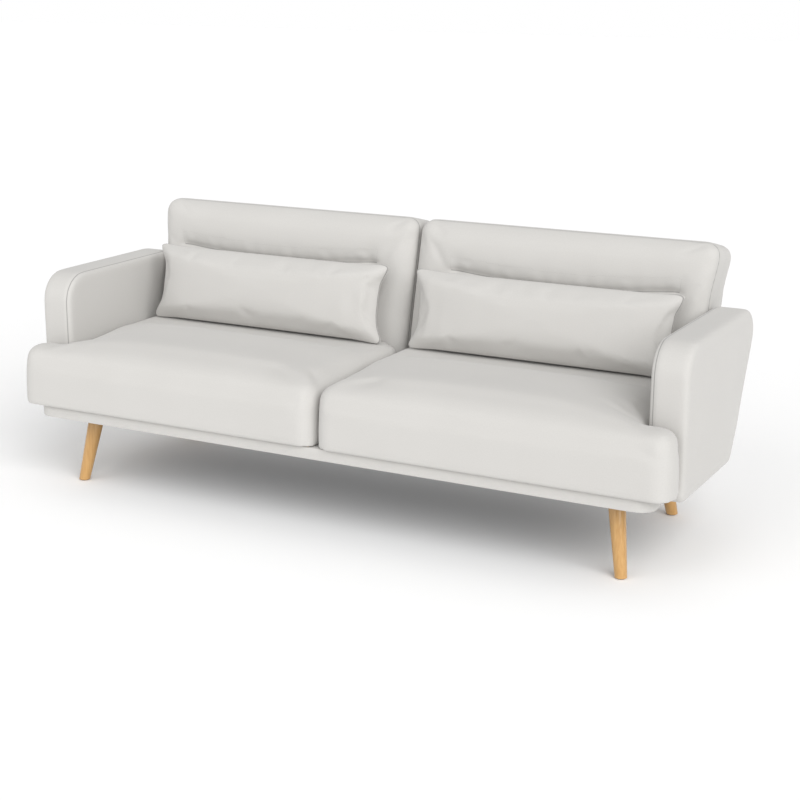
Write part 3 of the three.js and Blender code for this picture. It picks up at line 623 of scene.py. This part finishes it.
def new_material(name):
    material = bpy.data.materials.new(name)
    material.use_nodes = True
    tree = material.node_tree
    return material, tree, tree.nodes["Principled BSDF"]


# %% [markdown]
# ### Upholstery fabric
# The cover is a plain weave in a light warm grey. Real threads are about half a
# millimetre wide. They are drawn 1.6 mm wide, because finer ones turn to noise.
# A soft sheen stands for the short fibres that stand up from the yarn. Seams, the tuck and the cushion rims
# get painted shade: the colour darkens to half in a thin line along them.

# %% Upholstery fabric
THREAD = 0.0016
FABRIC_COLOURS = ("#B7B5B1", "#C5C3C0")


def fabric(name):
    material, tree, shader = new_material(name)
    uv = add(tree, "ShaderNodeTexCoord").outputs["UV"]
    place = add(tree, "ShaderNodeTexCoord").outputs["Object"]
    wave = {"wave_type": "BANDS", "wave_profile": "SIN"}
    per_metre = 2 * math.pi / 20 / THREAD
    spacing = {"Vector": uv, "Scale": per_metre / 2}
    warp = add(tree, "ShaderNodeTexWave", {**wave, "bands_direction": "X"}, spacing)
    weft = add(tree, "ShaderNodeTexWave", {**wave, "bands_direction": "Y"}, spacing)
    weave = add(
        tree,
        "ShaderNodeMath",
        {"operation": "MULTIPLY"},
        {0: warp.outputs["Fac"], 1: weft.outputs["Fac"]},
    )
    slub = add(tree, "ShaderNodeTexNoise", {}, {"Vector": uv, "Scale": 260.0, "Detail": 3.0})
    cloudy = add(tree, "ShaderNodeTexNoise", {}, {"Vector": place, "Scale": 5.0, "Detail": 2.0})
    mottle = add(
        tree, "ShaderNodeMath", {"operation": "MULTIPLY_ADD"}, {0: slub.outputs["Fac"], 1: 0.55, 2: 0.12}
    )
    blend = add(
        tree,
        "ShaderNodeMath",
        {"operation": "MULTIPLY_ADD"},
        {0: cloudy.outputs["Fac"], 1: 0.30, 2: mottle.outputs[0]},
    )
    colour = add(
        tree,
        "ShaderNodeMix",
        {"data_type": "RGBA"},
        {0: blend.outputs[0], 6: linear(FABRIC_COLOURS[0]), 7: linear(FABRIC_COLOURS[1])},
    )
    # Painted shade: within about 2.4 mm of a seam, the tuck or a cushion rim, the colour darkens to half.
    # It stands in for the shade in their grooves.
    seam = add(tree, "ShaderNodeAttribute", {"attribute_name": "seam"})
    near = add(tree, "ShaderNodeMath", {"operation": "ABSOLUTE"}, {0: seam.outputs["Fac"]})
    line = add(
        tree,
        "ShaderNodeMapRange",
        {"interpolation_type": "SMOOTHSTEP"},
        {"Value": near.outputs[0], "From Min": 0.0002, "From Max": 0.0024, "To Min": 0.50, "To Max": 1.0},
    )
    shaded = add(
        tree,
        "ShaderNodeMix",
        {"data_type": "RGBA", "blend_type": "MULTIPLY"},
        {0: 1.0, 6: colour.outputs[2], 7: line.outputs[0]},
    )
    threads = add(
        tree, "ShaderNodeBump", {}, {"Height": weave.outputs[0], "Strength": 0.25, "Distance": 0.0004}
    )
    yarn = add(
        tree,
        "ShaderNodeBump",
        {},
        {"Height": slub.outputs["Fac"], "Strength": 0.25, "Distance": 0.0005, "Normal": threads.outputs[0]},
    )
    tree.links.new(shaded.outputs[2], shader.inputs["Base Color"])
    tree.links.new(yarn.outputs[0], shader.inputs["Normal"])
    shader.inputs["Roughness"].default_value = 0.9
    shader.inputs["Sheen Weight"].default_value = 0.2
    shader.inputs["Sheen Roughness"].default_value = 0.5
    return material


# %% [markdown]
# ### Wood, steel and the hidden parts
# The legs are clear-lacquered beech, with fine grain along the leg. The frames
# are plain pine. Springs, hinges and bolts are zinc-plated steel.

# %% Wood
def wood(name, dark, light, rings, gloss, coat):
    material, tree, shader = new_material(name)
    place = add(tree, "ShaderNodeTexCoord").outputs["Object"]
    along = add(tree, "ShaderNodeMapping", {}, {"Vector": place, "Scale": rings})
    grain = add(tree, "ShaderNodeTexNoise", {}, {"Vector": along.outputs[0], "Scale": 9.0, "Detail": 6.0})
    colour = add(
        tree,
        "ShaderNodeMix",
        {"data_type": "RGBA"},
        {0: grain.outputs["Fac"], 6: linear(dark), 7: linear(light)},
    )
    relief = add(
        tree, "ShaderNodeBump", {}, {"Height": grain.outputs["Fac"], "Strength": 0.15, "Distance": 0.0003}
    )
    tree.links.new(colour.outputs[2], shader.inputs["Base Color"])
    tree.links.new(relief.outputs[0], shader.inputs["Normal"])
    shader.inputs["Roughness"].default_value = gloss
    shader.inputs["Coat Weight"].default_value = coat
    return material


# %% Plain finishes with a little unevenness
def plain(name, dark, light, grain_size, roughness, metallic=0.0):
    material, tree, shader = new_material(name)
    place = add(tree, "ShaderNodeTexCoord").outputs["Object"]
    grain = add(tree, "ShaderNodeTexNoise", {}, {"Vector": place, "Scale": 1 / grain_size, "Detail": 3.0})
    colour = add(
        tree,
        "ShaderNodeMix",
        {"data_type": "RGBA"},
        {0: grain.outputs["Fac"], 6: linear(dark), 7: linear(light)},
    )
    relief = add(
        tree, "ShaderNodeBump", {}, {"Height": grain.outputs["Fac"], "Strength": 0.2, "Distance": 0.0003}
    )
    tree.links.new(colour.outputs[2], shader.inputs["Base Color"])
    tree.links.new(relief.outputs[0], shader.inputs["Normal"])
    shader.inputs["Roughness"].default_value = roughness
    shader.inputs["Metallic"].default_value = metallic
    return material


# %% Give every piece its finish
upholstery = fabric("Light grey plain weave upholstery")
finishes = {
    "rail_fabric": upholstery,
    "seat_fabric": upholstery,
    "arm_fabric": upholstery,
    "back_fabric": upholstery,
    "cushion_fabric": upholstery,
    "leg_wood": wood("Clear-lacquered beech", "#AA7B40", "#D0A76C", (22, 22, 1.4), 0.38, 0.3),
    "frame_wood": wood("Planed pine", "#C9A571", "#E4CB9C", (12, 1.5, 12), 0.65, 0.0),
    "zinc_steel": plain("Zinc-plated steel", "#9EA2A6", "#B9BDC0", 0.004, 0.35, 1.0),
    "webbing": plain("Woven elastic webbing", "#3A3835", "#4A4743", 0.002, 0.9),
    "dust_cover": plain("Black non-woven dust cover", "#1D1D1E", "#2C2C2D", 0.003, 0.95),
    "glide_plastic": plain("Grey moulded plastic glide", "#6A6864", "#76746F", 0.005, 0.55),
}
for kind, pair in covers.items():
    for piece in pair.values():
        piece.data.materials.append(upholstery)
for piece, slot_name in ((front_rail, "rail_fabric"), (rear_rail, "frame_wood")):
    piece.data.materials.append(finishes[slot_name])
for piece in legs:
    piece.data.materials.append(finishes["leg_wood"])
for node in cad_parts.values():
    for slot in node.material_slots:
        slot.material = finishes[slot.material.name.split(".")[0]]
print(len(finishes), "finishes given out")

# %% [markdown]
# ## Studio
# A plain pale floor and a white surround keep the eye on the sofa. One broad soft
# light from the front and right shapes the cushions, and a weaker one fills in.

# %% Floor, lights and camera
bpy.ops.object.select_all(action="DESELECT")
bpy.ops.mesh.primitive_plane_add(size=60, location=(0, 0, 0))
floor = bpy.context.object
floor.name = "studio_floor"
paper, _, paper_shader = new_material("White studio paper")
paper_shader.inputs["Base Color"].default_value = linear("#FFFFFF")
paper_shader.inputs["Roughness"].default_value = 0.9
floor.data.materials.append(paper)

surround = bpy.data.worlds.new("Soft white surround")
surround.use_nodes = True
surround.node_tree.nodes["Background"].inputs["Color"].default_value = linear("#FFFFFF")
SURROUND_LIGHT = 0.55
seen = add(surround.node_tree, "ShaderNodeLightPath")
strength = add(
    surround.node_tree,
    "ShaderNodeMath",
    {"operation": "MAXIMUM"},
    {0: seen.outputs["Is Camera Ray"], 1: SURROUND_LIGHT},
)
surround.node_tree.links.new(
    strength.outputs[0], surround.node_tree.nodes["Background"].inputs["Strength"]
)
bpy.context.scene.world = surround


def broad_light(name, comes_from, softness, strength):
    """A light as even as daylight through a large white screen."""
    bpy.ops.object.light_add(type="SUN", location=comes_from)
    light = bpy.context.object
    light.name = name
    light.data.angle = math.radians(softness)
    light.data.energy = strength
    light.rotation_euler = (-Vector(comes_from)).to_track_quat("-Z", "Y").to_euler()
    return light


broad_light("key_light", (3.0, -2.4, 2.4), 50, 2.3)
broad_light("fill_light", (-1.5, -3.5, 1.6), 60, 0.8)

CAMERA_PLACE = Vector((2.2495, -4.1665, 1.5886))
CAMERA_TURN, CAMERA_TILT, CAMERA_ROLL = 0.4829, 0.2654, 0.0037
forward = Vector(
    (
        -math.sin(CAMERA_TURN) * math.cos(CAMERA_TILT),
        math.cos(CAMERA_TURN) * math.cos(CAMERA_TILT),
        -math.sin(CAMERA_TILT),
    )
)
level = Vector((math.cos(CAMERA_TURN), math.sin(CAMERA_TURN), 0))
rise = level.cross(forward)
right = level * math.cos(CAMERA_ROLL) + rise * math.sin(CAMERA_ROLL)
up = rise * math.cos(CAMERA_ROLL) - level * math.sin(CAMERA_ROLL)
bpy.ops.object.camera_add()
camera = bpy.context.object
camera.matrix_world = Matrix.Translation(CAMERA_PLACE) @ Matrix((right, up, -forward)).transposed().to_4x4()
camera.data.sensor_width = 36
camera.data.lens = 72.8
bpy.context.scene.camera = camera
bpy.context.scene.view_settings.view_transform = "Standard"
print("camera looks along", tuple(round(v, 3) for v in forward))
